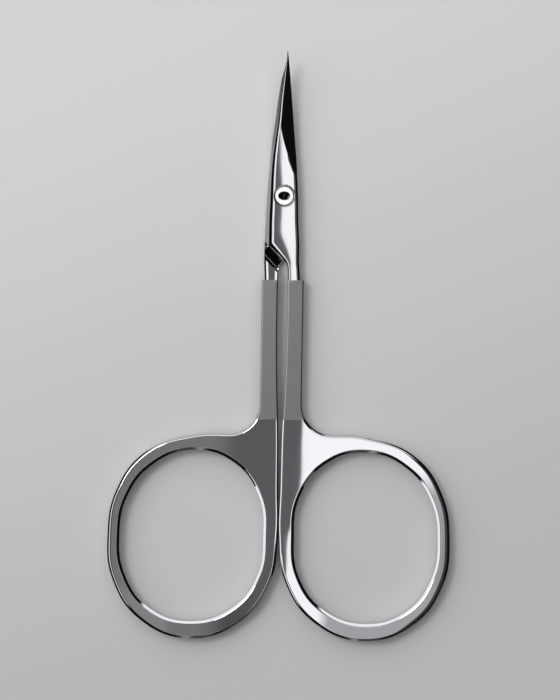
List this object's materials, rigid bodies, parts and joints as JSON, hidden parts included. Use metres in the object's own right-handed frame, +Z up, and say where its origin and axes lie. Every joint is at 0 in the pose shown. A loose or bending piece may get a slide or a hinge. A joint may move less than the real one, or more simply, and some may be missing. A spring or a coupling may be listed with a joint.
{
  "type": "cuticle scissors",
  "caption": "Fine steel cuticle scissors with upward-curved pointed blades, satin shank bands, oval finger rings and a flush pivot.",
  "frame": {"origin": "middle of the closed tool's box in X and Y, on the flat underside of the handles", "axes": "+Y from the finger rings to the blade tips, +X to the side of the upper half's ring, +Z up, the way the blades curve"},
  "size_m": [0.0538, 0.092, 0.0056],
  "materials": {
    "polished_steel": "mirror polish, with a bead-blasted satin band on each shank",
    "pivot_steel": "bright turned steel"
  },
  "bodies": {
    "lower": {"lower_half": "polished_steel", "pivot_screw": "pivot_steel", "pivot_nut": "pivot_steel"},
    "upper": {"upper_half": "polished_steel"}
  },
  "joints": [
    {"name": "pivot", "type": "hinge", "parent": "lower", "child": "upper", "pos_m": [0, 0.0236, 0.0015], "axis": [0, 0, 1], "range_deg": [0, 145]}
  ]
}
